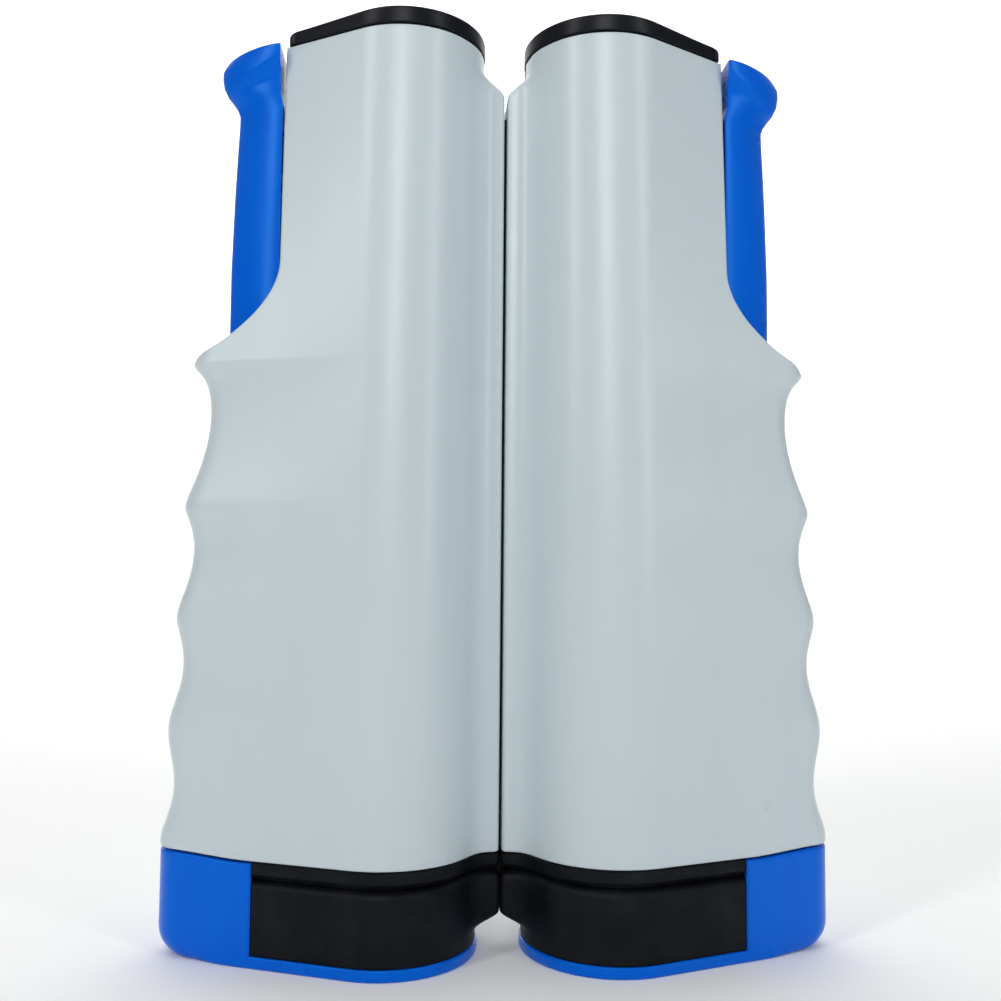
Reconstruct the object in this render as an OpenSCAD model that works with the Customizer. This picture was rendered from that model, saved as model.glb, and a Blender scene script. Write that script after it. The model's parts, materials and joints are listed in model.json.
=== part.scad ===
// Retractable table tennis net: two mirrored clamp posts, closed together, with the net rolled up
// inside them. Millimetres. The set stands upright: +Z is up, the origin is on the floor, midway
// between the posts, and -Y is the front. Every module draws the right-hand post's piece, and
// left() mirrors it.

/* [Housing] */
// Height from the floor to the top of the caps
height = 190; // [188:1:192]
// Distance of the tube's inner side from the middle plane
limb_x = 4.4; // [4.2:0.1:4.6]
// Tube radius at the floor
tube_r_foot = 19.3; // [19:0.1:19.8]
// How much smaller the tube radius is at the top
tube_taper = 2.4; // [2.2:0.1:2.5]
// Wall thickness of the grey housing
wall = 1.8; // [1.6:0.1:2]
// Height of the housing's lower rim
shell_foot = 20.4; // [20.2:0.1:20.6]
// Thickness of the cap above the housing
cap_t = 3.8; // [3.5:0.1:4]

/* [Grip] */
// Distance of the lowest finger peak from the middle plane
tip_x = 68.9; // [68:0.1:70]
// Inward lean of the line through the finger peaks, per mm of height
edge_lean = 0.045; // [0.04:0.001:0.05]
// Radius of the grip's rounded outer edge
edge_r = 5.5; // [5:0.1:5.7]
// Softness of the finger peaks
peak_soft = 0.25; // [0.15:0.05:0.4]

/* [Net slot] */
// Distance of the slot lip from the middle plane
seam_x = 0.3; // [0.2:0.1:0.4]
// Half thickness of the slot lip
lip_t = 5.5; // [5.3:0.1:5.7]
// Half width of the net slot
slot_half = 1.5; // [1.2:0.1:1.6]

/* [Clamp] */
// Height of the face where the two jaw pads meet
jaw_z = 16.5; // [16.4:0.1:16.7]
// Thickness of the blue foot plate
foot_t = 2.3; // [2.2:0.1:2.5]
// Inner side of the blue outer block
block_x = 49; // [48.8:0.1:49.3]
// How far the jaw opens
travel = 45; // [40:1:45]
// Outer side of the lever column
lever_tip_x = 57.5; // [57.2:0.1:57.7]
// Height of the top of the lever head
head_top = 186; // [185:0.5:187]

/* [Drum] */
// Distance of the drum spindle from the middle plane
drum_x = 21.8; // [21.6:0.1:21.9]
// Radius of the wound net
roll_r = 13.4; // [12:0.2:13.4]
// Radius of the steel spindle
spindle_r = 2; // [1.8:0.1:2.2]

/* [Hidden] */
$fn = 64;

// Clearances
gap = 0.3;
fine_gap = 0.02;
run_gap = 0.06;
through = 1;

// Finger grip: heights of the peaks, from the lowest up to the hook under the lever opening, and the
// depth, skew and squareness of the groove above each of the first four
peak_z = [22.5, 45, 67.4, 89.7, 119.9];
groove_depth = [1.95, 2.1, 2.55, 4.1];
groove_skew = [0.88, 1.12, 1.24, 1.38];
groove_box = [1.4, 1.1, 0.75, 0.5];
hook_z = peak_z[4];

// Lever opening above the hook
opening_x = 46.2;
opening_h = 20.1;
// Place and half thickness that set the housing's flank above the hook
flank_x = 45.6;
flank_t_hook = 10.48;
flank_fall = 0.0785;

// Ends of the slot lip
lip_top = 177;
lip_fade = 6.2;
lip_foot = 6.3;

cap_z = height - cap_t;
pad_gap = 0.05;
tongue_top = 27;

// Lever
lever_in_x = 44;
lever_high_in_x = 46.6;
lever_step_z = 124;
lever_slope = 0.37;
lever_edge_r = 3.4;
web_x = 61.5;
web_t = 2.1;
web_bottom = 10;
web_top = 70;
// Lever head: depth of each level below its top and its outer reach there, and the flare of its
// thickness out of the column's
head_drop = [12.6, 10.8, 9, 7, 5, 3.2, 1.7, 0.6, 0];
head_out_x = [56.4, 57.5, 58.9, 59.9, 60.3, 60.2, 59.7, 58.9, 58.3];
head_in_x = 47;
neck_half = 6.3;
head_half = 8.1;
head_round = 1.4;
flare_drop = 4.2;
flare_lean = 8.5;
flare_h = 3.2;

// Clamp spring, inside the lever column
spring_x = 49.5;
spring_bore = 4.3;
spring_r = 3.3;
spring_wire = 0.55;
spring_turns = 14;
shelf_z = 58;
shelf_t = 4;
shelf_r = 3.9;
spring_top = 150;
washer_t = 1;
rod_r = 1.6;
rod_top = 100;

// Inner frame
frame_x = 42.3;
frame_t = 1.4;
frame_gap = 0.4;
floor_z = 22.6;
floor_t = 2.4;
frame_top = 183.8;

// Drum
drum_r = 6;
drum_bore = 5;
drum_bottom = 26.2;
drum_top = 181.6;
flange_r = 14.2;
flange_t = 1;
roll_gap = 0.2;
bush_flange_t = 0.85;
bush_flange_r = 5.6;
bush_plug = 3.8;
spindle_top = 187.5;
winder_r = 3.5;
winder_wire = 0.45;
winder_turns = 12;
winder_bottom = 36;
winder_top = 120;
net_t = 0.5;
bend_gap = 1.3;
lead_margin = 0.4;
net_top = 174.6;

// Screws
screw_x = 39.3;
screw_z = [31, 78, 128, 174];
boss_r = 2.9;
screw_r = 1.2;
screw_head_r = 2.1;
screw_head_t = 1.6;
screw_depth = 5;
screw_reach = 5;
base_screw_x = [48, 54.5];
base_screw_len = 14;
base_head_t = 1.2;
base_head_r = 2.6;

// Steps along the curves
arc_steps = 9;
end_steps = 5;
groove_steps = 4;

function mix(a, b, w) = a + (b - a) * w;
function smooth(t) = let (u = max(0, min(1, t))) u * u * (3 - 2 * u);

// Tube: its radius and the place of its axis at height z
function tube_r(z) = tube_r_foot - tube_taper * z / height;
function tube_x(z) = limb_x + tube_r(z);

// Outer edge of the grip
function peak_line(z) = tip_x + edge_lean * (peak_z[0] - z);
function dip(u) = (sqrt(pow(sin(180 * u), 2) + pow(peak_soft, 2)) - peak_soft)
    / (sqrt(1 + pow(peak_soft, 2)) - peak_soft);
function groove_at(z) = z < peak_z[1] ? 0 : z < peak_z[2] ? 1 : z < peak_z[3] ? 2 : 3;
function grip_x(z) = z <= peak_z[0] ? tip_x : let (
        i = groove_at(z),
        u = (z - peak_z[i]) / (peak_z[i + 1] - peak_z[i])
    ) peak_line(z) - groove_depth[i] * pow(dip(pow(u, groove_skew[i])), groove_box[i]);

// Outer edge of the housing's wall beside the lever opening
function opening_edge(z) = let (
        b = min(1, (z - hook_z) / opening_h)
    ) opening_x + (peak_line(hook_z) - opening_x) * pow(1 - b, 2);

// Sine of the flank's angle: tangent to the rounded edge on the grip, and through a falling point
// above the hook
function flank_t(z) = flank_t_hook - flank_fall * (z - hook_z);
function flank_sin(z) = z <= hook_z
    ? (tube_r(z) - edge_r) / (grip_x(z) - edge_r - tube_x(z))
    : let (a = flank_x - tube_x(z), t = flank_t(z)) sin(asin(tube_r(z) / norm([a, t])) - atan2(t, a));
function flank_cos(z) = sqrt(1 - pow(flank_sin(z), 2));
function edge_x(z) = tube_x(z) + (tube_r(z) - edge_r) / flank_sin(z);

// Half thickness of the housing at height z and distance x from the middle plane
function half_t(z, x) = let (s = flank_sin(z), e = edge_x(z)) x > e + edge_r * s
    ? sqrt(max(0.04, pow(edge_r, 2) - pow(x - e, 2)))
    : (tube_r(z) - s * (x - tube_x(z))) / sqrt(1 - s * s);

// Half outlines, as [x, half thickness], from the slot lip round to the outer edge
function on_tube(z, d, inset) = [tube_x(z) - sqrt(pow(tube_r(z) - inset, 2) - d * d), d];
lip_out = [[0, slot_half], [0, 4.6], [0.9, lip_t], [3.3, 5.7], [5.1, 6.7]];
lip_tube_d = [slot_half, 3.4, 4.8, 5.9, 7.2];
lip_end_d = 9;
lip_in_end_d = 5;
lip_in_share = [0.15, 0.4, 0.7, 0.95];
lip_in_last_d = 2.4;
function lip_w(z) = smooth((lip_top + lip_fade - z) / lip_fade);

function arc_points(z, inset, d_start) = let (
        r = tube_r(z) - inset,
        a0 = 180 - asin(d_start / r),
        a1 = acos(flank_sin(z))
    ) [for (k = [0 : arc_steps]) let (a = mix(a0, a1, k / arc_steps))
        [tube_x(z) + r * cos(a), r * sin(a)]];
function end_points(z, inset) = z <= hook_z
    ? let (a1 = acos(flank_sin(z)), r = edge_r - inset)
        [for (k = [0 : end_steps]) let (a = a1 * (1 - k / end_steps))
            [edge_x(z) + r * cos(a), r * sin(a)]]
    : let (x1 = opening_edge(z), span = 4)
        [for (k = [0 : end_steps]) let (x = x1 - span * (1 - k / end_steps))
            [x, max(0.2, half_t(z, x) - inset / flank_cos(z))]];
function outer_half(z) = concat(
    [for (k = [0 : len(lip_out) - 1])
        mix(on_tube(z, lip_tube_d[k], 0), lip_out[k] + [seam_x, 0], lip_w(z))],
    arc_points(z, 0, lip_end_d),
    end_points(z, 0));
function inner_half(z) = let (
        x0 = outer_half(z)[0][0],
        x1 = on_tube(z, slot_half, wall)[0]
    ) concat(
        [for (f = lip_in_share) [mix(x0, x1, f), slot_half]],
        [on_tube(z, lip_in_last_d, wall)],
        arc_points(z, wall, lip_in_end_d),
        end_points(z, wall));

// Levels of the housing: evenly along each groove, round the lever opening and up to the cap
shell_levels = concat(
    [shell_foot],
    [for (i = [0 : 3], k = [0 : groove_steps - 1])
        mix(peak_z[i], peak_z[i + 1], k / groove_steps)],
    [hook_z],
    [for (b = [0.06, 0.15, 0.3, 0.5, 0.7, 0.85, 1]) hook_z + b * opening_h],
    [155, lip_top, lip_top + lip_fade * 0.35, lip_top + lip_fade * 0.65, lip_top + lip_fade, cap_z]);

// One half of the housing's wall: a ring of points at each level, out along the outer face and back
// along the inner one
function ring(z) = let (o = outer_half(z), n = inner_half(z), last = len(o) - 1) concat(
    [for (k = [0 : last]) [o[k][0], -o[k][1], z]],
    [for (k = [last : -1 : 0]) [n[k][0], -n[k][1], z]]);
ring_size = 2 * len(outer_half(shell_foot));
function side_faces(levels) = [for (i = [0 : levels - 2], k = [0 : ring_size - 1], t = [0, 1]) let (
        a = i * ring_size + k,
        b = i * ring_size + (k + 1) % ring_size
    ) t == 0 ? [a, a + ring_size, b] : [b, a + ring_size, b + ring_size]];
function rim_faces(base, up) = [for (k = [0 : ring_size / 2 - 2], t = [0, 1]) let (
        a = base + k,
        b = base + k + 1,
        c = base + ring_size - 2 - k,
        d = base + ring_size - 1 - k,
        f = t == 0 ? [a, b, d] : [b, c, d]
    ) up ? [f[2], f[1], f[0]] : f];
module shell_wall() {
    polyhedron(
        points = [for (z = shell_levels) each ring(z)],
        faces = concat(
            side_faces(len(shell_levels)),
            rim_faces(0, false),
            rim_faces((len(shell_levels) - 1) * ring_size, true)));
}

// Full plan outline of the post at height z, for the pads, cap and foot, with or without the lip
function plan_half(z, inset, lip) = concat(
    lip
        ? [[seam_x + inset, 0], [seam_x + inset, lip_t - inset - 0.9], [seam_x + inset + 0.9, lip_t - inset],
            [on_tube(z, lip_t - inset, inset)[0], lip_t - inset]]
        : [for (d = [0, 3, 6]) on_tube(z, d, inset)],
    arc_points(z, inset, lip_end_d),
    end_points(z, inset));
module plan(z, inset, lip) {
    half = plan_half(z, inset, lip);
    last = len(half) - 1;
    polygon(concat(
        [for (k = [0 : last]) [half[k][0], -half[k][1]]],
        [for (k = [last : -1 : 1]) half[k]]));
}

// Lever column in plan, grown by g
module lever_plan(g) {
    c = sqrt(1 - lever_slope * lever_slope);
    r = lever_edge_r + g;
    ex = lever_tip_x - lever_edge_r;
    in_x = lever_in_x - g;
    in_t = (r + lever_slope * (ex - in_x)) / c;
    last = 10;
    arc = [for (k = [-last : last]) let (a = acos(lever_slope) * k / last) [ex + r * cos(a), r * sin(a)]];
    polygon(concat(arc, [[in_x, in_t], [in_x, -in_t]]));
}

// Straight prism between two heights
module prism(z0, z1) {
    translate([0, 0, z0]) linear_extrude(z1 - z0) children();
}

// A rod along Y from y0 to y1
module rod_y(x, z, r, y0, y1) {
    translate([x, y1, z]) rotate([90, 0, 0]) cylinder(r = r, h = y1 - y0);
}

// A round-wire helix about Z: one ring of points at each step along it
module helix(r, wire, turns, z0, z1, sides) {
    per_turn = 10;
    steps = turns * per_turn;
    rise = (z1 - z0 - 2 * wire) / steps;
    points = [for (i = [0 : steps], k = [0 : sides - 1]) let (
            a = 360 * i / per_turn,
            b = 360 * k / sides,
            q = r + wire * cos(b)
        ) [q * cos(a), q * sin(a), z0 + wire + rise * i + wire * sin(b)]];
    side = [for (i = [0 : steps - 1], k = [0 : sides - 1], t = [0, 1]) let (
            a = i * sides + k,
            b = i * sides + (k + 1) % sides
        ) t == 0 ? [a, a + sides, b] : [b, a + sides, b + sides]];
    polyhedron(
        points = points,
        faces = concat(
            side,
            [[for (k = [0 : sides - 1]) k]],
            [[for (k = [sides - 1 : -1 : 0]) steps * sides + k]]));
}

module left() {
    mirror([1, 0, 0]) children();
}

module front_shell() {
    color([0.76, 0.81, 0.84]) difference() {
        union() {
            shell_wall();
            for (z = screw_z) {
                rod_y(screw_x, z, boss_r, wall - half_t(z, screw_x), -fine_gap);
            }
        }
        for (z = screw_z) {
            rod_y(screw_x, z, screw_r, -screw_reach - through, through);
        }
    }
}

module rear_shell() {
    color([0.76, 0.81, 0.84]) difference() {
        union() {
            mirror([0, 1, 0]) shell_wall();
            for (z = screw_z) {
                rod_y(screw_x, z, boss_r, fine_gap, half_t(z, screw_x) - wall);
            }
        }
        for (z = screw_z) {
            rod_y(screw_x, z, screw_r + fine_gap, -through, tube_r_foot);
            rod_y(screw_x, z, screw_head_r + fine_gap, half_t(z, screw_x) - screw_depth, tube_r_foot);
        }
    }
}

module top_cap() {
    plug_t = 2.2;
    boss_t = 1.3;
    color([0.1, 0.1, 0.11]) difference() {
        union() {
            prism(cap_z, height) intersection() {
                plan(cap_z, 0, false);
                square(2 * flank_x, center = true);
            }
            prism(cap_z - plug_t, cap_z) intersection() {
                plan(cap_z, wall + gap, false);
                square(2 * (frame_x - gap), center = true);
            }
            translate([drum_x, 0, cap_z - plug_t - boss_t]) cylinder(r = 2 * spindle_r, h = boss_t);
        }
        translate([drum_x, 0, 0]) cylinder(r = spindle_r + fine_gap, h = spindle_top + fine_gap);
    }
}

module upper_pad() {
    plug_t = 2;
    tongue_x = 0.06;
    tongue_half = slot_half - 0.15;
    color([0.09, 0.09, 0.1]) difference() {
        union() {
            translate([tongue_x, -tongue_half, jaw_z + plug_t])
                cube([limb_x + wall - tongue_x, 2 * tongue_half, tongue_top - jaw_z - plug_t]);
            prism(jaw_z + pad_gap, shell_foot) plan(shell_foot, 0, true);
            prism(shell_foot, shell_foot + plug_t) plan(shell_foot, wall + fine_gap, false);
        }
        translate([block_x, -tube_r_foot, 0]) cube([tube_r_foot * 2, tube_r_foot * 2, cap_z]);
        prism(0, cap_z) lever_plan(2 * gap);
    }
}

module inner_frame() {
    rail_z = concat([floor_z], [for (z = shell_levels) if (z > floor_z && z < frame_top) z], [frame_top]);
    rail_t = [for (z = rail_z) half_t(z, frame_x + frame_t) - wall / flank_cos(z) - frame_gap];
    last = len(rail_z) - 1;
    color([0.2, 0.21, 0.23]) difference() {
        union() {
            translate([frame_x, 0, 0]) rotate([90, 0, 90]) linear_extrude(frame_t) polygon(concat(
                [for (k = [0 : last]) [rail_t[k], rail_z[k]]],
                [for (k = [last : -1 : 0]) [-rail_t[k], rail_z[k]]]));
            prism(floor_z, floor_z + floor_t) intersection() {
                plan(floor_z, wall + frame_gap, false);
                square(2 * (frame_x + frame_t / 2), center = true);
            }
            translate([frame_x + frame_t / 2, -shelf_r + gap, shelf_z])
                cube([spring_x - frame_x - frame_t / 2, 2 * (shelf_r - gap), shelf_t]);
            translate([spring_x, 0, shelf_z]) cylinder(r = shelf_r, h = shelf_t);
        }
        translate([spring_x, 0, shelf_z - through]) cylinder(r = rod_r + fine_gap, h = shelf_t + 2 * through);
        translate([drum_x, 0, floor_z - through]) cylinder(r = spindle_r + fine_gap, h = floor_t + 2 * through);
        for (z = screw_z) {
            rod_y(screw_x, z, boss_r + gap, -tube_r_foot, tube_r_foot);
        }
    }
}

// Level i of the lever head: a D with its flat side towards the post
head_steps = 8;
function head_level(i) = [for (k = [-head_steps : head_steps]) let (
        a = 90 * k / head_steps,
        u = pow(cos(a), 2 / head_round),
        flare = smooth((flare_drop - head_drop[i] + flare_lean * u) / flare_h)
    ) [
        mix(head_in_x, head_out_x[i], u),
        mix(neck_half, head_half, flare) * sign(k) * pow(abs(sin(a)), 2 / head_round),
        head_top - head_drop[i]
    ]];
module lever_head() {
    n = 2 * head_steps + 1;
    levels = len(head_drop);
    polyhedron(
        points = [for (i = [0 : levels - 1]) each head_level(i)],
        faces = concat(
            [for (i = [0 : levels - 2], k = [0 : n - 1], t = [0, 1]) let (
                a = i * n + k,
                b = i * n + (k + 1) % n
            ) t == 0 ? [a, a + n, b] : [b, a + n, b + n]],
            [[for (k = [0 : n - 1]) k]],
            [[for (k = [n - 1 : -1 : 0]) (levels - 1) * n + k]]));
}

module clamp_lever() {
    socket_z = foot_t + pad_gap;
    channel_bottom = 24;
    channel_top = 110;
    head_joint = 175;
    color([0.0, 0.38, 0.86]) difference() {
        union() {
            prism(socket_z, lever_step_z) lever_plan(0);
            prism(lever_step_z, head_joint) intersection() {
                lever_plan(0);
                translate([lever_high_in_x, -tube_r_foot]) square(2 * tube_r_foot);
            }
            translate([lever_tip_x - lever_edge_r, -web_t, web_bottom])
                cube([web_x - lever_tip_x + lever_edge_r, 2 * web_t, web_top - web_bottom]);
            lever_head();
        }
        translate([spring_x, 0, channel_bottom])
            cylinder(r = spring_bore, h = spring_top + washer_t - channel_bottom);
        translate([lever_in_x - through, -spring_bore, channel_bottom])
            cube([spring_x - lever_in_x + through, 2 * spring_bore, channel_top - channel_bottom]);
        for (x = base_screw_x) {
            translate([x, 0, 0]) cylinder(r = screw_r + fine_gap, h = base_screw_len + through);
        }
    }
}

module jaw_base() {
    block_top = 19.95;
    corner_r = 5.5;
    side = 2 * tube_r_foot;
    color([0.0, 0.38, 0.86]) difference() {
        union() {
            prism(0, foot_t) plan(shell_foot, 0, false);
            prism(0, block_top) intersection() {
                plan(shell_foot, 0, false);
                translate([block_x, -tube_r_foot]) square(side);
            }
        }
        prism(foot_t, side) lever_plan(pad_gap);
        translate([block_x, -web_t - pad_gap, web_bottom - pad_gap])
            cube([web_x + pad_gap - block_x, 2 * (web_t + pad_gap), side]);
        difference() {
            translate([tip_x - corner_r, -side / 2, -through]) cube([side, side, corner_r + through]);
            rod_y(tip_x - corner_r, corner_r, corner_r, -side, side);
        }
        for (x = base_screw_x) {
            translate([x, 0, -through]) cylinder(r = screw_r + fine_gap, h = side);
            translate([x, 0, -through]) cylinder(r = base_head_r + fine_gap, h = base_head_t + fine_gap + through);
        }
    }
}

module lower_pad() {
    color([0.09, 0.09, 0.1]) difference() {
        union() {
            prism(foot_t, jaw_z - pad_gap) plan(shell_foot, 0, false);
            prism(lip_foot, jaw_z - pad_gap) intersection() {
                plan(shell_foot, 0, true);
                square(2 * drum_x, center = true);
            }
        }
        translate([block_x, -tube_r_foot, 0]) cube([tube_r_foot * 2, tube_r_foot * 2, cap_z]);
        prism(0, cap_z) lever_plan(gap);
    }
}

module clamp_spring() {
    color([0.6, 0.61, 0.63]) translate([spring_x, 0, 0])
        helix(spring_r, spring_wire, spring_turns, shelf_z + shelf_t, spring_top, 5);
}

module spring_rod() {
    color([0.7, 0.71, 0.73]) translate([spring_x, 0, shelf_z]) cylinder(r = rod_r, h = rod_top - shelf_z);
}

module spring_washer() {
    color([0.7, 0.71, 0.73]) translate([spring_x, 0, spring_top]) difference() {
        cylinder(r = spring_bore - gap, h = washer_t);
        translate([0, 0, -through]) cylinder(r = rod_r + gap, h = washer_t + 2 * through);
    }
}

module net_drum() {
    color([0.75, 0.75, 0.72]) translate([drum_x, 0, 0]) difference() {
        union() {
            translate([0, 0, drum_bottom]) cylinder(r = drum_r, h = drum_top - drum_bottom);
            for (z = [drum_bottom, drum_top - flange_t]) {
                translate([0, 0, z]) cylinder(r = flange_r, h = flange_t);
            }
        }
        cylinder(r = drum_bore, h = height);
    }
}

module drum_spindle() {
    color([0.7, 0.71, 0.73]) translate([drum_x, 0, floor_z]) cylinder(r = spindle_r, h = spindle_top - floor_z);
}

module drum_spring() {
    color([0.6, 0.61, 0.63]) translate([drum_x, 0, 0])
        helix(winder_r, winder_wire, winder_turns, winder_bottom, winder_top, 5);
}

// A flanged bush with its plug pointing up from z = 0
module bush() {
    color([0.92, 0.91, 0.87]) difference() {
        union() {
            translate([0, 0, -bush_flange_t]) cylinder(r = bush_flange_r, h = bush_flange_t);
            cylinder(r = drum_bore - fine_gap, h = bush_plug);
        }
        translate([0, 0, -through]) cylinder(r = spindle_r + run_gap, h = bush_plug + 2 * through);
    }
}

module lower_bush() {
    translate([drum_x, 0, drum_bottom - fine_gap]) bush();
}

module upper_bush() {
    translate([drum_x, 0, drum_top + fine_gap]) mirror([0, 0, 1]) bush();
}

module net_roll() {
    bottom = drum_bottom + flange_t + roll_gap;
    color([0.16, 0.2, 0.3]) translate([drum_x, 0, 0]) difference() {
        translate([0, 0, bottom]) cylinder(r = roll_r, h = net_top - bottom);
        cylinder(r = drum_r + fine_gap, h = height);
    }
}

// The net between the roll and the seam: off the roll at a tangent, then straight out of the slot
module net_lead() {
    bend_x = limb_x + wall + bend_gap;
    lift_r = roll_r + gap + net_t / 2;
    a = acos(lift_r / (drum_x - bend_x));
    off = [drum_x - lift_r * cos(a), -lift_r * sin(a)];
    across = net_t / 2 * [cos(a), sin(a)];
    color([0.16, 0.2, 0.3])
        prism(drum_bottom + flange_t + roll_gap, net_top - lead_margin)
            polygon([
                [pad_gap, -net_t / 2], [bend_x - net_t / 2, -net_t / 2], off - across,
                off + across, [bend_x + net_t / 2, net_t / 2], [pad_gap, net_t / 2]
            ]);
}

module shell_screws() {
    color([0.75, 0.76, 0.78]) for (z = screw_z) {
        seat = half_t(z, screw_x) - screw_depth;
        rod_y(screw_x, z, screw_r - fine_gap, -screw_reach, seat + screw_head_t / 2);
        rod_y(screw_x, z, screw_head_r - fine_gap, seat + fine_gap, seat + screw_head_t);
    }
}

module base_screws() {
    color([0.75, 0.76, 0.78]) for (x = base_screw_x) {
        translate([x, 0, fine_gap]) cylinder(r = base_head_r - fine_gap, h = base_head_t - fine_gap);
        translate([x, 0, base_head_t / 2]) cylinder(r = screw_r - fine_gap, h = base_screw_len - base_head_t);
    }
}

left() front_shell();  // left_front_shell
left() rear_shell();  // left_rear_shell
left() top_cap();  // left_top_cap
left() upper_pad();  // left_upper_pad
left() inner_frame();  // left_inner_frame
left() clamp_lever();  // left_clamp_lever
left() jaw_base();  // left_jaw_base
left() lower_pad();  // left_lower_pad
left() clamp_spring();  // left_clamp_spring
left() spring_rod();  // left_spring_rod
left() spring_washer();  // left_spring_washer
left() net_drum();  // left_net_drum
left() drum_spindle();  // left_drum_spindle
left() drum_spring();  // left_drum_spring
left() lower_bush();  // left_lower_bush
left() upper_bush();  // left_upper_bush
left() net_roll();  // left_net_roll
left() net_lead();  // left_net_lead
left() shell_screws();  // left_shell_screws
left() base_screws();  // left_base_screws
front_shell();  // right_front_shell
rear_shell();  // right_rear_shell
top_cap();  // right_top_cap
upper_pad();  // right_upper_pad
inner_frame();  // right_inner_frame
clamp_lever();  // right_clamp_lever
jaw_base();  // right_jaw_base
lower_pad();  // right_lower_pad
clamp_spring();  // right_clamp_spring
spring_rod();  // right_spring_rod
spring_washer();  // right_spring_washer
net_drum();  // right_net_drum
drum_spindle();  // right_drum_spindle
drum_spring();  // right_drum_spring
lower_bush();  // right_lower_bush
upper_bush();  // right_upper_bush
net_roll();  // right_net_roll
net_lead();  // right_net_lead
shell_screws();  // right_shell_screws
base_screws();  // right_base_screws
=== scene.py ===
"""Looks of a retractable table tennis net: two mirrored clamp posts, closed together.

Shapes are worked out in millimetres for the right-hand post, and mirrored for the left one. The
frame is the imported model's: +Z up, origin on the floor midway between the posts, -Y to the front.
"""
import json
import math

import bmesh
import bpy
import numpy as np
from mathutils import Matrix, Vector


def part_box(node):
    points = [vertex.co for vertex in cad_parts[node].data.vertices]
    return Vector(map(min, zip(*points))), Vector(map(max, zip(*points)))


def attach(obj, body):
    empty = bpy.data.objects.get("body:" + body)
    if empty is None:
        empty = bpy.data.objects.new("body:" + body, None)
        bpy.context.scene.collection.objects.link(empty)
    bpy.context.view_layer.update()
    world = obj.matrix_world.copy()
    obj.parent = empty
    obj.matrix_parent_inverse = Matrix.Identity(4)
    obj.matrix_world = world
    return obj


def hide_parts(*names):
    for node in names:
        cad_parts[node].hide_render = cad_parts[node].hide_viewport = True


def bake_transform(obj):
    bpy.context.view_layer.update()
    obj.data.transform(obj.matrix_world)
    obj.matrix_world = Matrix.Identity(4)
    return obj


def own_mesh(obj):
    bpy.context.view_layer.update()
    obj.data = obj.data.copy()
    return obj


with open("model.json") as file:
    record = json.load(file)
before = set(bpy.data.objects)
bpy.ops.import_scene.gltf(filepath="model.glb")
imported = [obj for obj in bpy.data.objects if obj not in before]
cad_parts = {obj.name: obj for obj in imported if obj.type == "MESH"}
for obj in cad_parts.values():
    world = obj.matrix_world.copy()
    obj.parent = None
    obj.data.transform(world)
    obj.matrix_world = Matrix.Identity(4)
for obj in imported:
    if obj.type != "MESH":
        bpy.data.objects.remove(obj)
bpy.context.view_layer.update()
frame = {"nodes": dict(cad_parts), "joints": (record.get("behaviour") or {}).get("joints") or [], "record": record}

MM = 0.001
SIDES = {"left": -1, "right": 1}
LAYERS = (("front", 1), ("rear", -1))

# ---------------------------------------------------------------- driving sizes, in millimetres
CAP_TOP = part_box("right_top_cap")[1].z / MM
SHELL_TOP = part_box("right_front_shell")[1].z / MM
SHELL_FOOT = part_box("right_front_shell")[0].z / MM
TIP_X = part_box("right_front_shell")[1].x / MM
HEAD_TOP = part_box("right_clamp_lever")[1].z / MM
ROLL_LOW, ROLL_HIGH = (c.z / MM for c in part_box("right_net_roll"))

LIMB_X = 4.4
TUBE_R_FOOT = 19.3
TUBE_TAPER = 2.4
WALL = 1.8
EDGE_LEAN = 0.045
EDGE_R = 5.5
SEAM_X = 0.3
LIP_T = 5.5
SLOT_HALF = 1.5
LIP_TOP = 177.0
LIP_FADE = 6.2

PEAK_Z = (22.5, 45.0, 67.4, 89.7, 119.9)
GROOVE_DEPTH = (1.95, 2.1, 2.55, 4.1)
GROOVE_SKEW = (0.88, 1.12, 1.24, 1.38)
GROOVE_BOX = (1.4, 1.1, 0.75, 0.5)
PEAK_SOFT = 0.25
HOOK_Z = PEAK_Z[-1]
OPENING_X = 46.2
OPENING_H = 20.1
FLANK_X = 45.6
FLANK_FALL = 0.0785

JAW_Z = 16.5
FOOT_T = 2.3
BLOCK_X = 49.0
BLOCK_TOP = 19.95
DRUM_X = 21.8
SPRING_X = 49.5
SHELF_TOP = 62.0
SPRING_TOP = 150.0
# Top of the dark webs in the slot between the posts, painted shade for the narrow gap
SHADE_WEB_TOP = 27.0
JOIN_D = 9.4
LIP_CORNER = 1.1
TUBE_SEGMENTS = 34
SHARP_DEG = 38.0
WHOLE_EDGE = 1e3


def mix(a, b, w):
    return a + (b - a) * w


def smooth(t):
    u = np.clip(t, 0.0, 1.0)
    return u * u * (3 - 2 * u)


# ---------------------------------------------------------------- the posts' outline
def tube_r(z):
    return TUBE_R_FOOT - TUBE_TAPER * z / CAP_TOP


def tube_x(z):
    return LIMB_X + tube_r(z)


def peak_line(z):
    return TIP_X + EDGE_LEAN * (PEAK_Z[0] - z)


def dip(u):
    """Depth of a finger groove, 0 at its ends and 1 in the middle, with eased peaks."""
    depth = math.sqrt(math.sin(math.pi * u) ** 2 + PEAK_SOFT ** 2) - PEAK_SOFT
    return depth / (math.sqrt(1 + PEAK_SOFT ** 2) - PEAK_SOFT)


def grip_x(z):
    """Outer edge of the finger grip, before it is softened."""
    if z <= PEAK_Z[0]:
        return TIP_X
    i = max(k for k in range(4) if z >= PEAK_Z[k])
    u = min(1.0, (z - PEAK_Z[i]) / (PEAK_Z[i + 1] - PEAK_Z[i]))
    return peak_line(z) - GROOVE_DEPTH[i] * dip(u ** GROOVE_SKEW[i]) ** GROOVE_BOX[i]


def opening_edge(z):
    """Outer edge of the housing beside the lever, above the hook."""
    b = min(1.0, (z - HOOK_Z) / OPENING_H)
    return OPENING_X + (peak_line(HOOK_Z) - OPENING_X) * (1 - b) ** 2


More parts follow.
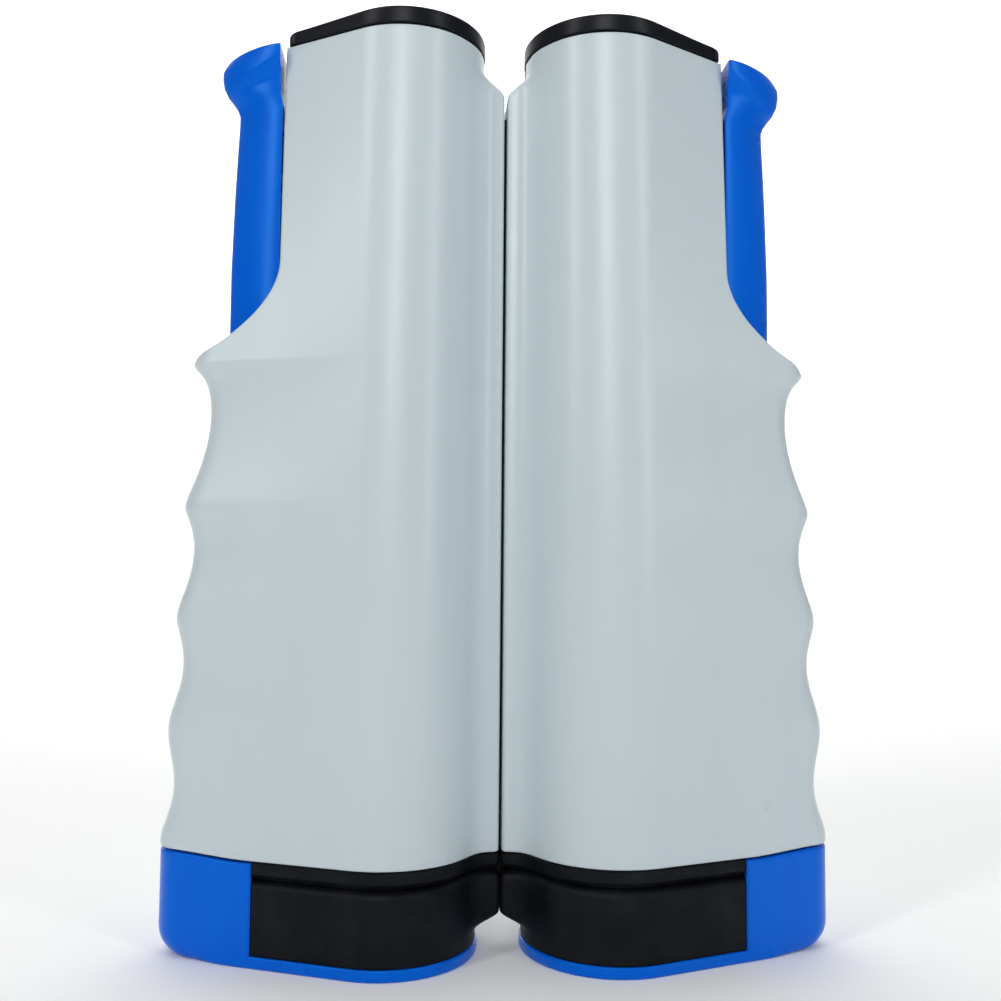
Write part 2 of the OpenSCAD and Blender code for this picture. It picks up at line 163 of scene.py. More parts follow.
# Front silhouette of the grip and the lever opening, softened, and most of all at the hook's nose
NOSE_PROUD = 1.3


def softened(values, samples):
    window = np.hanning(samples)
    padded = np.pad(values, samples // 2, mode="edge")
    return np.convolve(padded, window / window.sum(), mode="valid")


_silhouette_z = np.arange(SHELL_FOOT - 4, SHELL_TOP + 4, 0.05)
_raw_x = np.array([grip_x(z) if z <= HOOK_Z else opening_edge(z) for z in _silhouette_z])
_nose_x = _raw_x + NOSE_PROUD * np.exp(-((_silhouette_z - HOOK_Z) / 2.2) ** 2)
_at_nose = smooth((_silhouette_z - 112) / 4) * (1 - smooth((_silhouette_z - 125) / 5))
_silhouette_x = mix(softened(_raw_x, 57), softened(_nose_x, 111), _at_nose)
NOSE_Z = float(_silhouette_z[np.argmax(np.where(_silhouette_z > 115, _silhouette_x, 0))])


def silhouette(z):
    return float(np.interp(z, _silhouette_z, _silhouette_x))


def grip_sin(z):
    return (tube_r(z) - EDGE_R) / (silhouette(z) - EDGE_R - tube_x(z))


_nose_sin = grip_sin(NOSE_Z)
_nose_drop = tube_r(NOSE_Z) - _nose_sin * (FLANK_X - tube_x(NOSE_Z))
FLANK_T_NOSE = _nose_drop / math.sqrt(1 - _nose_sin ** 2)


def flank_sin(z):
    """Sine of the flank's angle: tangent to the round edge on the grip, and falling above the hook."""
    if z <= NOSE_Z:
        return grip_sin(z)
    a = FLANK_X - tube_x(z)
    t = FLANK_T_NOSE - FLANK_FALL * (z - NOSE_Z)
    return math.sin(math.asin(tube_r(z) / math.hypot(a, t)) - math.atan2(t, a))


def edge_x(z):
    return tube_x(z) + (tube_r(z) - EDGE_R) / flank_sin(z)


def half_t(z, x):
    """Half the post's thickness at height z and reach x, beyond the tube."""
    s, e = flank_sin(z), edge_x(z)
    if x > e + EDGE_R * s:
        return math.sqrt(max(0.0, EDGE_R ** 2 - (x - e) ** 2))
    return (tube_r(z) - s * (x - tube_x(z))) / math.sqrt(1 - s * s)


def bezier(p0, p1, p2, p3, count):
    t = np.linspace(0, 1, count)[:, None]
    p0, p1, p2, p3 = map(np.array, (p0, p1, p2, p3))
    return (1 - t) ** 3 * p0 + 3 * (1 - t) ** 2 * t * p1 + 3 * (1 - t) * t * t * p2 + t ** 3 * p3


def on_tube(z, d, inset=0.0):
    """The point on the tube's inner side that is d from the middle plane."""
    return np.array([tube_x(z) - math.sqrt((tube_r(z) - inset) ** 2 - d * d), d])


def lip_curve(z, d_start, weight, inset=0.0, seam=SEAM_X):
    """From the middle of the post's inner side to the tube: the slot lip, or plain tube at weight 0."""
    side_points, pull = 5, 2.6
    t = LIP_T - inset
    x0 = max(0.05, seam + inset)
    side = [(x0, mix(d_start, t - LIP_CORNER, k / side_points)) for k in range(side_points)]
    turn = [(x0 + LIP_CORNER * (1 - math.cos(a)), t - LIP_CORNER * (1 - math.sin(a)))
            for a in np.linspace(0, math.pi / 2, 7)]
    joint = on_tube(z, JOIN_D, inset)
    a = math.asin(JOIN_D / (tube_r(z) - inset))
    run = np.array([math.sin(a), math.cos(a)])
    x1 = x0 + LIP_CORNER
    back = bezier((x1, t), (x1 + pull, t), joint - pull * run, joint, 14)[1:]
    lip = np.vstack([side, turn, back])
    d = np.linspace(d_start, JOIN_D, len(lip))
    plain = np.array([on_tube(z, k, inset) for k in d])
    return mix(plain, lip, weight)


def tube_arc(z, inset, d_start, count):
    """The tube's arc from the lip's end to the start of the flank."""
    r = tube_r(z) - inset
    a0, a1 = math.pi - math.asin(d_start / r), math.acos(flank_sin(z))
    return np.array([(tube_x(z) + r * math.cos(a), r * math.sin(a))
                     for a in np.linspace(a0, a1, count)[1:]])


def flank_curve(z, inset, x_end, count, edge_inset=None):
    """From the end of the tube's arc along the flank, and round the outer edge as far as x_end."""
    s, e = flank_sin(z), edge_x(z)
    c = math.sqrt(1 - s * s)
    r_tube = tube_r(z) - inset
    r_edge = max(0.3, EDGE_R - (inset if edge_inset is None else edge_inset))
    start = np.array([tube_x(z) + r_tube * s, r_tube * c])
    turn = np.array([e + r_edge * s, r_edge * c])
    a1 = math.acos(s)
    straight = math.hypot(*(turn - start))
    if x_end <= turn[0]:
        length, arc = straight * (x_end - start[0]) / (turn[0] - start[0]), 0.0
    else:
        a_end = math.acos(min(1.0, max(-1.0, (x_end - e) / r_edge)))
        length, arc = straight, (a1 - a_end) * r_edge
    total = length + arc
    points = []
    for k in range(1, count + 1):
        at = total * (1 - (1 - k / count) ** 1.35)
        if at <= length:
            points.append(start + (turn - start) * at / straight)
        else:
            a = a1 - (at - length) / r_edge
            points.append(np.array([e + r_edge * math.cos(a), r_edge * math.sin(a)]))
    return np.array(points)


# ---------------------------------------------------------------- mesh helpers
def mark_creases(bm, sharp_deg=SHARP_DEG):
    limit = math.radians(sharp_deg)
    for e in bm.edges:
        if len(e.link_faces) == 2 and e.calc_face_angle(0.0) > limit:
            e.smooth = False


def finish_mesh(name, verts_mm, faces, sharp_deg=SHARP_DEG, merge=0.002):
    """A smooth-shaded piece from points in millimetres, with real creases marked sharp."""
    mesh = bpy.data.meshes.new(name)
    mesh.from_pydata([tuple(v) for v in np.asarray(verts_mm) * MM], [], faces)
    bm = bmesh.new()
    bm.from_mesh(mesh)
    bmesh.ops.remove_doubles(bm, verts=bm.verts, dist=merge * MM)
    bmesh.ops.dissolve_degenerate(bm, edges=bm.edges, dist=merge * MM * 0.5)
    bmesh.ops.recalc_face_normals(bm, faces=bm.faces)
    for f in bm.faces:
        f.smooth = True
    mark_creases(bm, sharp_deg)
    bm.to_mesh(mesh)
    bm.free()
    piece = bpy.data.objects.new(name, mesh)
    bpy.context.scene.collection.objects.link(piece)
    return piece


def loft(rings, close_ends=True):
    """Points and faces of a stack of closed rings, each an array of the same number of points."""
    n = len(rings[0])
    verts = np.vstack(rings)
    faces = []
    for i in range(len(rings) - 1):
        a, b = i * n, (i + 1) * n
        faces += [(a + k, a + (k + 1) % n, b + (k + 1) % n, b + k) for k in range(n)]
    if close_ends:
        faces.append(tuple(range(n - 1, -1, -1)))
        faces.append(tuple(range((len(rings) - 1) * n, len(rings) * n)))
    return verts, faces


def merged(*parts):
    """Several (points, faces) pairs as one."""
    verts, faces, base = [], [], 0
    for v, f in parts:
        verts.append(np.asarray(v))
        faces += [tuple(base + k for k in face) for face in f]
        base += len(v)
    return np.vstack(verts), faces


def mirrored(part, sx=1, sy=1):
    verts, faces = part
    turned = np.asarray(verts) * np.array([sx, sy, 1])
    return turned, [tuple(reversed(f)) for f in faces] if sx * sy < 0 else list(faces)


def rim(z_low, z_high, r_low, r_high, middle, steps=4):
    """Heights and insets that round a piece's lower and upper rims, with the middle heights between."""
    low = [(z_low + r_low * (1 - math.cos(a)), r_low * (1 - math.sin(a)))
           for a in np.linspace(0, math.pi / 2, steps + 1)]
    high = [(z_high - r_high * (1 - math.cos(a)), r_high * (1 - math.sin(a)))
            for a in np.linspace(math.pi / 2, 0, steps + 1)]
    between = [(z, 0.0) for z in middle if low[-1][0] + 0.05 < z < high[0][0] - 0.05]
    return low + between + high


def rod(p0, p1, r, sides=24, bevel=0.15):
    """A straight round bar with eased ends."""
    p0, p1 = np.array(p0, float), np.array(p1, float)
    axis = (p1 - p0) / np.linalg.norm(p1 - p0)
    u = np.cross(axis, [0.0, 0.0, 1.0] if abs(axis[2]) < 0.9 else [1.0, 0.0, 0.0])
    u /= np.linalg.norm(u)
    v = np.cross(axis, u)
    a = np.linspace(0, 2 * math.pi, sides, endpoint=False)[:, None]
    circle = np.cos(a) * u + np.sin(a) * v
    rings = [p0 + circle * (r - bevel), p0 + axis * bevel + circle * r,
             p1 - axis * bevel + circle * r, p1 + circle * (r - bevel)]
    return loft(rings)


def helix(x, r, wire, turns, z0, z1, per_turn=28, sides=8):
    """Round wire coiled about a vertical line, with its last turns closed up at both ends."""
    steps = turns * per_turn
    rings = []
    for i in range(steps + 1):
        t = i / steps
        a = 2 * math.pi * turns * t
        ease = np.interp(t * turns, [0, 1, turns - 1, turns], [0, 0.6, turns - 0.6, turns]) / turns
        z = mix(z0 + wire, z1 - wire, float(ease))
        out = np.array([math.cos(a), math.sin(a), 0.0])
        b = np.linspace(0, 2 * math.pi, sides, endpoint=False)[:, None]
        wire_ring = wire * (np.cos(b) * out + np.sin(b) * np.array([0, 0, 1.0]))
        rings.append(np.array([x, 0, z]) + out * r + wire_ring)
    return loft(rings)


# ---------------------------------------------------------------- camera
CAMERA_AT = (-16.43, -220.96, 78.86)
CAMERA_YAW, CAMERA_PITCH, CAMERA_ROLL = -0.0572, 0.0592, -0.0094
CAMERA_LENS = 37.74
CAMERA_SHIFT = 0.0171


def make_camera():
    data = bpy.data.cameras.new("camera")
    data.sensor_width = 36.0
    data.lens = CAMERA_LENS
    data.shift_x = CAMERA_SHIFT
    data.clip_start, data.clip_end = 0.01, 20.0
    camera = bpy.data.objects.new("camera", data)
    bpy.context.scene.collection.objects.link(camera)
    turn = (Matrix.Rotation(CAMERA_YAW, 3, "Z") @ Matrix.Rotation(CAMERA_PITCH, 3, "X")
            @ Matrix.Rotation(CAMERA_ROLL, 3, "Y"))
    right, forward, up = turn.col[0], turn.col[1], turn.col[2]
    camera.matrix_world = Matrix((
        (right[0], up[0], -forward[0], CAMERA_AT[0] * MM),
        (right[1], up[1], -forward[1], CAMERA_AT[1] * MM),
        (right[2], up[2], -forward[2], CAMERA_AT[2] * MM),
        (0, 0, 0, 1)))
    bpy.context.scene.camera = camera


make_camera()


# ---------------------------------------------------------------- materials
def shader(name, colour, rough, metallic=0.0, coat_rough=0.2, sheen=0.0, specular=0.5,
           gloss_tint=(1, 1, 1)):
    """A material with a Principled shader, and shorthands to add and link nodes."""
    material = bpy.data.materials.new(name)
    material.use_nodes = True
    nodes, links = material.node_tree.nodes, material.node_tree.links
    bsdf = nodes["Principled BSDF"]
    bsdf.inputs["Base Color"].default_value = (*colour, 1)
    bsdf.inputs["Roughness"].default_value = rough
    bsdf.inputs["Metallic"].default_value = metallic
    bsdf.inputs["Coat Roughness"].default_value = coat_rough
    bsdf.inputs["Sheen Weight"].default_value = sheen
    bsdf.inputs["Specular IOR Level"].default_value = specular
    bsdf.inputs["Specular Tint"].default_value = (*gloss_tint, 1)
    return material, nodes, links, bsdf


def place_coords(nodes, links, stretch=(1, 1, 1)):
    """The piece's own coordinates, scaled by stretch on each axis."""
    coords = nodes.new("ShaderNodeTexCoord")
    mapping = nodes.new("ShaderNodeMapping")
    mapping.inputs["Scale"].default_value = stretch
    links.new(coords.outputs["Object"], mapping.inputs["Vector"])
    return mapping.outputs["Vector"]


def noise(nodes, links, vector, size_mm, detail=3.0, rough=0.55):
    """A noise whose features are about size_mm across."""
    node = nodes.new("ShaderNodeTexNoise")
    node.inputs["Scale"].default_value = 1 / (size_mm * MM)
    node.inputs["Detail"].default_value = detail
    node.inputs["Roughness"].default_value = rough
    links.new(vector, node.inputs["Vector"])
    return node.outputs["Fac"]


def ramp(nodes, links, value, stops):
    """A colour ramp of a value, with stops (place, grey or colour)."""
    node = nodes.new("ShaderNodeValToRGB")
    elements = node.color_ramp.elements
    while len(elements) < len(stops):
        elements.new(0.5)
    for element, (at, colour) in zip(elements, stops):
        element.position = at
        element.color = (*colour, 1) if hasattr(colour, "__len__") else (colour, colour, colour, 1)
    links.new(value, node.inputs["Fac"])
    return node.outputs["Color"]


# Places of a Mix node's colour sockets among its inputs and outputs: factor, first, second; result
MIX_COLOUR_SOCKETS = (0, 6, 7)
MIX_COLOUR_RESULT = 2


def tint(nodes, links, base, other, factor):
    """Mixes two colours, each a triple or a socket."""
    node = nodes.new("ShaderNodeMix")
    node.data_type = "RGBA"
    factor_in, first_in, second_in = (node.inputs[k] for k in MIX_COLOUR_SOCKETS)
    for socket, value in ((first_in, base), (second_in, other)):
        if hasattr(value, "is_linked"):
            links.new(value, socket)
        else:
            socket.default_value = (*value, 1)
    links.new(factor, factor_in)
    return node.outputs[MIX_COLOUR_RESULT]


def scale_value(nodes, links, value, low, high):
    """A value from 0 to 1, brought to the range low to high."""
    node = nodes.new("ShaderNodeMapRange")
    node.inputs["To Min"].default_value = low
    node.inputs["To Max"].default_value = high
    links.new(value, node.inputs["Value"])
    return node.outputs["Result"]


def bump(nodes, links, bsdf, height, distance_mm, strength=1.0, before=None):
    """Adds a bump on the shader, on top of the one before it."""
    node = nodes.new("ShaderNodeBump")
    node.inputs["Strength"].default_value = strength
    node.inputs["Distance"].default_value = distance_mm * MM
    links.new(height, node.inputs["Height"])
    if before is not None:
        links.new(before, node.inputs["Normal"])
    links.new(node.outputs["Normal"], bsdf.inputs["Normal"])
    return node.outputs["Normal"]


def moulded_plastic(name, colour, deep, rough, grain_mm, grain_depth, spec=0.5, scuff=0.5,
                    gloss_tint=(1, 1, 1)):
    """Moulded plastic: fine spark-eroded grain, faint flow along the part, and light handling scuffs."""
    material, nodes, links, bsdf = shader(name, colour, rough, coat_rough=0.35, specular=spec,
                                          gloss_tint=gloss_tint)
    plain = place_coords(nodes, links)
    along = place_coords(nodes, links, (1, 1, 0.12))
    flow = noise(nodes, links, along, 9.0, 4.0)
    grain = noise(nodes, links, plain, grain_mm, 2.0)
    patch = noise(nodes, links, plain, 22.0, 3.0)
    speck = ramp(nodes, links, noise(nodes, links, plain, 1.1, 1.0),
                 [(0.0, 0.0), (0.73, 0.0), (0.78, 1.0)])
    streaks = place_coords(nodes, links, (6, 6, 0.5))
    scratches = ramp(nodes, links, noise(nodes, links, streaks, 7.0, 6.0, 0.7),
                     [(0.0, 0.0), (0.66, 0.0), (0.74, 1.0)])
    flow_share = ramp(nodes, links, flow, [(0.35, 0.0), (0.75, 0.6)])
    body = tint(nodes, links, colour, deep, flow_share)
    paler = tuple(min(1.0, c * 1.12 + 0.012) for c in colour)
    speck_share = ramp(nodes, links, speck, [(0.0, 0.0), (1.0, 0.35 * scuff)])
    body = tint(nodes, links, body, paler, speck_share)
    links.new(body, bsdf.inputs["Base Color"])
    base_rough = scale_value(nodes, links, patch, rough - 0.07, rough + 0.08)
    worn = nodes.new("ShaderNodeMath")
    worn.operation = "MULTIPLY_ADD"
    worn.inputs[1].default_value = 0.05 * scuff
    links.new(scratches, worn.inputs[0])
    links.new(base_rough, worn.inputs[2])
    links.new(worn.outputs[0], bsdf.inputs["Roughness"])
    first = bump(nodes, links, bsdf, grain, grain_depth)
    bump(nodes, links, bsdf, flow, 0.05, 0.35, before=first)
    return material


def bare_metal(name, colour, rough, stretch, size_mm=1.2):
    """Drawn or plated steel: fine lines along the part, patchy sheen and small dark stains."""
    material, nodes, links, bsdf = shader(name, colour, rough, metallic=1.0)
    lines = noise(nodes, links, place_coords(nodes, links, stretch), size_mm, 4.0, 0.65)
    stains = noise(nodes, links, place_coords(nodes, links), 4.0, 4.0, 0.6)
    dull = tuple(c * 0.72 for c in colour)
    stain_share = ramp(nodes, links, stains, [(0.45, 0.0), (0.8, 0.8)])
    links.new(tint(nodes, links, colour, dull, stain_share), bsdf.inputs["Base Color"])
    links.new(scale_value(nodes, links, lines, rough - 0.08, rough + 0.14), bsdf.inputs["Roughness"])
    bump(nodes, links, bsdf, lines, 0.02, 0.5)
    return material


def soft_pad(name, colour):
    """Smooth black elastomer with a matt skin, patches of dust and a few bright rub marks."""
    material, nodes, links, bsdf = shader(name, colour, 0.4, specular=0.12)
    plain = place_coords(nodes, links)
    patch = noise(nodes, links, plain, 7.0, 4.0)
    fine = noise(nodes, links, plain, 0.5, 3.0)
    across = place_coords(nodes, links, (1, 1, 2.5))
    rubbed = ramp(nodes, links, noise(nodes, links, across, 3.0, 5.0, 0.7),
                  [(0.0, 0.0), (0.62, 0.0), (0.74, 1.0)])
    dusty, worn = tuple(c * 1.9 + 0.006 for c in colour), (0.022, 0.024, 0.03)
    dust_share = ramp(nodes, links, patch, [(0.4, 0.0), (0.8, 0.7)])
    worn_share = ramp(nodes, links, rubbed, [(0.0, 0.0), (1.0, 0.35)])
    body = tint(nodes, links, colour, dusty, dust_share)
    body = tint(nodes, links, body, worn, worn_share)
    links.new(body, bsdf.inputs["Base Color"])
    links.new(scale_value(nodes, links, patch, 0.34, 0.56), bsdf.inputs["Roughness"])
    first = bump(nodes, links, bsdf, fine, 0.02, 0.6)
    bump(nodes, links, bsdf, patch, 0.15, 0.4, before=first)
    return material


def woven(name, colour, thread_mm):
    """Twisted polyester: fine strands that show as ridges, with fuzz and faded threads."""
    material, nodes, links, bsdf = shader(name, colour, 0.8, sheen=0.35, specular=0.25)
    plain = place_coords(nodes, links)
    strands = nodes.new("ShaderNodeTexWave")
    strands.wave_type = "BANDS"
    strands.bands_direction = "DIAGONAL"
    strands.inputs["Scale"].default_value = 1 / (thread_mm * MM) / 6.28  # about one band a thread
    strands.inputs["Distortion"].default_value = 1.5
    strands.inputs["Detail"].default_value = 2.0
    links.new(plain, strands.inputs["Vector"])
    fade = noise(nodes, links, plain, 5.0, 4.0)
    paler = tuple(min(1.0, c * 2.2 + 0.01) for c in colour)
    fade_share = ramp(nodes, links, fade, [(0.4, 0.0), (0.85, 0.7)])
    links.new(tint(nodes, links, colour, paler, fade_share), bsdf.inputs["Base Color"])
    links.new(scale_value(nodes, links, fade, 0.7, 0.92), bsdf.inputs["Roughness"])
    bump(nodes, links, bsdf, strands.outputs["Fac"], 0.08, 0.7)
    return material


GREY = (0.56, 0.64, 0.67)
BLUE = (0.0, 0.118, 0.68)
BLACK = (0.005, 0.006, 0.009)
# Each moulded plastic: colour, deeper colour, roughness, grain across and deep in mm, and the rest
PLASTICS = {
    "housing_grey": (GREY, (0.53, 0.61, 0.645), 0.3, 0.35, 0.006, {}),
    "lever_blue": (BLUE, (0.0, 0.1, 0.62), 0.27, 0.5, 0.004,
                   {"scuff": 0.7, "gloss_tint": (0.12, 0.55, 1.0)}),
    "cap_black": (BLACK, (0.008, 0.009, 0.014), 0.33, 0.3, 0.01, {"spec": 0.17}),
    "frame_plastic": ((0.04, 0.045, 0.05), (0.03, 0.033, 0.037), 0.5, 0.6, 0.03, {}),
    "drum_plastic": ((0.5, 0.5, 0.47), (0.44, 0.44, 0.41), 0.45, 0.5, 0.02, {}),
    "bush_nylon": ((0.78, 0.76, 0.7), (0.7, 0.68, 0.62), 0.4, 0.5, 0.01, {}),
}
MATERIALS = {slot: moulded_plastic(slot, *row[:-1], **row[-1]) for slot, row in PLASTICS.items()}
MATERIALS["pad_black"] = soft_pad("pad_black", (0.003, 0.004, 0.006))
MATERIALS["bright_steel"] = bare_metal("bright_steel", (0.62, 0.62, 0.63), 0.25, (1, 1, 0.05))
MATERIALS["spring_steel"] = bare_metal("spring_steel", (0.45, 0.46, 0.48), 0.33, (1, 1, 1), 0.6)
MATERIALS["screw_steel"] = bare_metal("screw_steel", (0.55, 0.56, 0.58), 0.3, (1, 1, 1), 0.5)
MATERIALS["net_fabric"] = woven("net_fabric", (0.006, 0.008, 0.014), 0.5)
SLOT_OF = {row["node"]: row["material_slot"] for row in frame["record"]["subparts"]}


def dress(piece, slot, body, *nodes):
    """Gives a piece its material and its body, and the CAD nodes that it stands for."""
    piece.data.materials.clear()
    piece.data.materials.append(MATERIALS[slot])
    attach(piece, body)
    if nodes:
        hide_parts(*nodes)
    return piece


for node_name, cad_node in frame["nodes"].items():
    cad_node.data.materials.clear()
    cad_node.data.materials.append(MATERIALS[SLOT_OF[node_name]])


# ---------------------------------------------------------------- housing shells
def foot_rise(x, z):
    """The housing's lower rim climbs a little towards the grip's outer edge."""
    return 0.9 * float(smooth((x - 50) / 17)) * float(smooth((SHELL_FOOT + 3 - z) / 3))


def shell_levels():
    """Heights of the housing's rings, close together where the outline turns."""
    foot = [SHELL_FOOT + h for h in (0.0, 0.08, 0.22, 0.45, 0.9)]
    grip = list(np.arange(SHELL_FOOT + 1.5, NOSE_Z - 8, 0.85))
    nose = list(np.arange(NOSE_Z - 8, NOSE_Z - 0.6, 0.4))
    nose += list(np.arange(NOSE_Z - 0.6, NOSE_Z + 3, 0.15))
    opening = list(np.arange(NOSE_Z + 3, HOOK_Z + OPENING_H + 1, 0.45))
    upper = list(np.arange(HOOK_Z + OPENING_H + 2, LIP_TOP - 1, 3.0))
    fade = list(np.linspace(LIP_TOP - 0.6, LIP_TOP + LIP_FADE + 0.3, 22))
    top = [SHELL_TOP - h for h in (1.2, 0.45, 0.22, 0.08, 0.0)]
    return foot + grip + nose + opening + upper + fade + top


def rim_inset(z):
    """How far the wall's faces draw in at the two rims, to round them."""
    r = 0.4
    depth = min(z - SHELL_FOOT, SHELL_TOP - z)
    return 0.0 if depth >= r else r - math.sqrt(max(0.0, r * r - (r - depth) ** 2))


def shell_ring(z):
    """One ring of the front half's wall: along the outer face, over the end, back along the inner."""
    ease = rim_inset(z)
    weight = float(smooth((LIP_TOP + LIP_FADE - z) / LIP_FADE))
    outer = lip_curve(z, SLOT_HALF, weight)
    outer[:, 1] = np.where(outer[:, 1] > SLOT_HALF + 0.5, outer[:, 1] - ease, outer[:, 1])
    outer[:, 0] += ease * (outer[:, 1] < LIP_T - 0.3)
    arc = tube_arc(z, ease, JOIN_D, TUBE_SEGMENTS)
    past_nose = z > NOSE_Z
    x_end = silhouette(z)
    inner_tip = edge_x(z) + EDGE_R - WALL
    parting = 0.05
    if past_nose:
        round_r = 0.45
        flank = flank_curve(z, ease, x_end - round_r, 40)
        t_end = half_t(z, x_end)
        slope_t = half_t(z, x_end - round_r)
        drop = min(round_r, max(0.02, t_end - parting))
        end = [(x_end - round_r * (1 - math.sin(a)),
                mix(slope_t, t_end, math.sin(a)) - drop * (1 - math.cos(a)))
               for a in np.linspace(0.3, math.pi / 2, 6)]
    else:
        flank = flank_curve(z, ease, x_end - 0.02, 40, ease)
        end = [(x_end - ease - 0.02 * k, max(parting, 0.3 - 0.05 * k)) for k in range(3)]
        end += [(x_end - ease - back, t) for back, t in ((0.06, 0.17), (0.12, 0.09), (0.24, parting))]
    outer = np.vstack([outer, arc, flank, end])
    in_wall = WALL - ease
    if past_nose:
        inner_flank = flank_curve(z, in_wall, min(x_end, inner_tip), 16)
        t_in = max(parting, float(inner_flank[-1][1]))
        corner = [(x_end, t_in if x_end <= inner_tip else parting)]
    else:
        inner_flank = flank_curve(z, in_wall, WHOLE_EDGE, 16)
        corner = [(x_end - ease - 0.3, parting)]
    inner_flank[:, 1] = np.maximum(inner_flank[:, 1], parting)
    inner_arc = tube_arc(z, in_wall, 5.0, 14)
    start = on_tube(z, SLOT_HALF, in_wall)
    lip_in = [np.array([mix(outer[0][0] + 0.25, start[0], f), SLOT_HALF]) for f in (0.0, 0.3, 0.7)]
    blend_in = [on_tube(z, d, in_wall) for d in (SLOT_HALF, 2.4, 3.6, 5.0)]
    inner = np.vstack([lip_in, blend_in, inner_arc, inner_flank])[::-1]
    loop = np.vstack([outer, corner, inner])
    return np.array([(x, -d, z + foot_rise(x, z)) for x, d in loop])


SHELL = loft([shell_ring(z) for z in shell_levels()])


SCREW_X, SCREW_Z, SCREW_DEPTH, SCREW_HEAD_R = 39.3, (31, 78, 128, 174), 5.0, 2.1
WELL_R, BOSS_R, WELL_SIDES = 2.12, 2.9, 40


def open_wells(piece, sx):
    """Cuts the four screw holes through the wall of a rear half."""
    drills = []
    for z in SCREW_Z:
        out = half_t(z, SCREW_X)
        x = sx * SCREW_X
        drills.append(rod((x, out - WALL - 1.2, z), (x, out + 3, z), WELL_R, WELL_SIDES, 0.02))
    drill = finish_mesh("drill", *merged(*drills))
    cut = piece.modifiers.new("wells", "BOOLEAN")
    cut.operation, cut.solver, cut.object = "DIFFERENCE", "EXACT", drill
    graph = bpy.context.evaluated_depsgraph_get()
    piece.data = bpy.data.meshes.new_from_object(piece.evaluated_get(graph))
    piece.modifiers.clear()
    bpy.data.objects.remove(drill)
    bm = bmesh.new()
    bm.from_mesh(piece.data)
    mark_creases(bm)
    bm.to_mesh(piece.data)
    bm.free()


def well_cup(z):
    """The boss under one screw hole: a cup with the screw's seat as its floor."""
    a = np.linspace(0, 2 * math.pi, WELL_SIDES, endpoint=False)
    top = half_t(z, SCREW_X) - WALL + 0.4
    seat = half_t(z, SCREW_X) - SCREW_DEPTH
    rings = [np.column_stack([SCREW_X + r * np.cos(a), np.full(WELL_SIDES, y), z + r * np.sin(a)])
             for r, y in ((BOSS_R, seat - 1.0), (BOSS_R, top), (WELL_R, top), (WELL_R, seat))]
    return loft(rings)


for side, sx in SIDES.items():
    for layer, sy in LAYERS:
        node = f"{side}_{layer}_shell"
        piece = finish_mesh(f"{node}_skin", *mirrored(SHELL, sx, sy))
        if layer == "rear":
            open_wells(piece, sx)
        dress(piece, "housing_grey", f"{side}_post", node)
    cups = finish_mesh(f"{side}_screw_wells", *mirrored(merged(*[well_cup(z) for z in SCREW_Z]), sx))
    dress(cups, "housing_grey", f"{side}_post")


# ---------------------------------------------------------------- plan loops for caps, pads and foot
def plan_half(z, inset, weight, x_cut, cut_r=0.0, seam=SEAM_X):
    """Half of the post's plan, as [x, half thickness]: lip or plain tube, flank, and rounded cut."""
    z_at = max(z, SHELL_FOOT)
    lip = lip_curve(z_at, 0.0, weight, inset, seam)
    arc = tube_arc(z_at, inset, JOIN_D, TUBE_SEGMENTS)
    flank = flank_curve(z_at, inset, x_cut - cut_r, 22)
    last = flank[-1]
    bend = [(last[0] + cut_r * math.sin(a), last[1] - cut_r * (1 - math.cos(a)))
            for a in np.linspace(0, math.pi / 2, 6)[1:]]
    return np.vstack([lip, arc, flank, bend])


def closed_plan(half, z, middle=()):
    """A closed ring in plan from its front half; the middle points lie between the two cut corners."""
    front = [(x, -d, z) for x, d in half]
    between = [(x, y, z) for x, y in middle]
    back = [(x, d, z) for x, d in half[::-1]]
    return np.array(front + between + back)


# ---------------------------------------------------------------- top cap
def cap_part():
    """The cap with eased rims, its plug and the boss that holds the spindle."""
    cut = FLANK_X
    drop = 0.8
    levels = rim(SHELL_TOP + 0.3, CAP_TOP, 0.25, 0.55, (187.5, 188.5))
    rings = []
    for z, inset in levels:
        half = plan_half(SHELL_TOP, inset - 0.12, 0.0, cut - inset, 1.0)
        ring = closed_plan(half, z)
        share = (z - SHELL_TOP) / (CAP_TOP - SHELL_TOP)
        ring[:, 2] -= drop * share * smooth((ring[:, 0] - 22) / 24)
        ring[:, 2] -= 1.1 * share ** 3 * np.clip((ring[:, 0] - cut + 1.6) / 1.6, 0, 1) ** 2
        rings.append(ring)
    shell = loft(rings)
    plug_rings = [closed_plan(plan_half(SHELL_TOP, WALL + 0.3, 0.0, 42.0, 0.5), z)
                  for z in (SHELL_TOP - 2.2, SHELL_TOP + 0.45)]
    boss = rod((DRUM_X, 0, SHELL_TOP - 3.5), (DRUM_X, 0, SHELL_TOP - 2.1), 4.0, 32, 0.2)
    return merged(shell, loft(plug_rings), boss)


# ---------------------------------------------------------------- jaw pads
NOTCH = [(43.4, 8.6), (48.9, 7.4)]


def pad_rings(levels, weight_of, seam):
    """Rings of a pad in plan, notched at the outer end to clear the lever."""
    cut = BLOCK_X - 0.1
    notch = [(NOTCH[1][0], -NOTCH[1][1]), (NOTCH[0][0], -NOTCH[0][1]),
             (NOTCH[0][0], NOTCH[0][1]), (NOTCH[1][0], NOTCH[1][1])]
    return [closed_plan(plan_half(z, inset, weight_of(z), cut, 0.25, seam), z, notch)
            for z, inset in levels]


def shade_web(z0, z1):
    """A thin black web on the pad that fills the slot between the posts: painted shade, a dark sheet standing in
    for the shade of the narrow gap.
    """
    x0, x1, t = 0.06, LIMB_X, SLOT_HALF - 0.15
    return loft([np.array([(x0, -t, z), (x1, -t, z), (x1, t, z), (x0, t, z)]) for z in (z0, z1)])


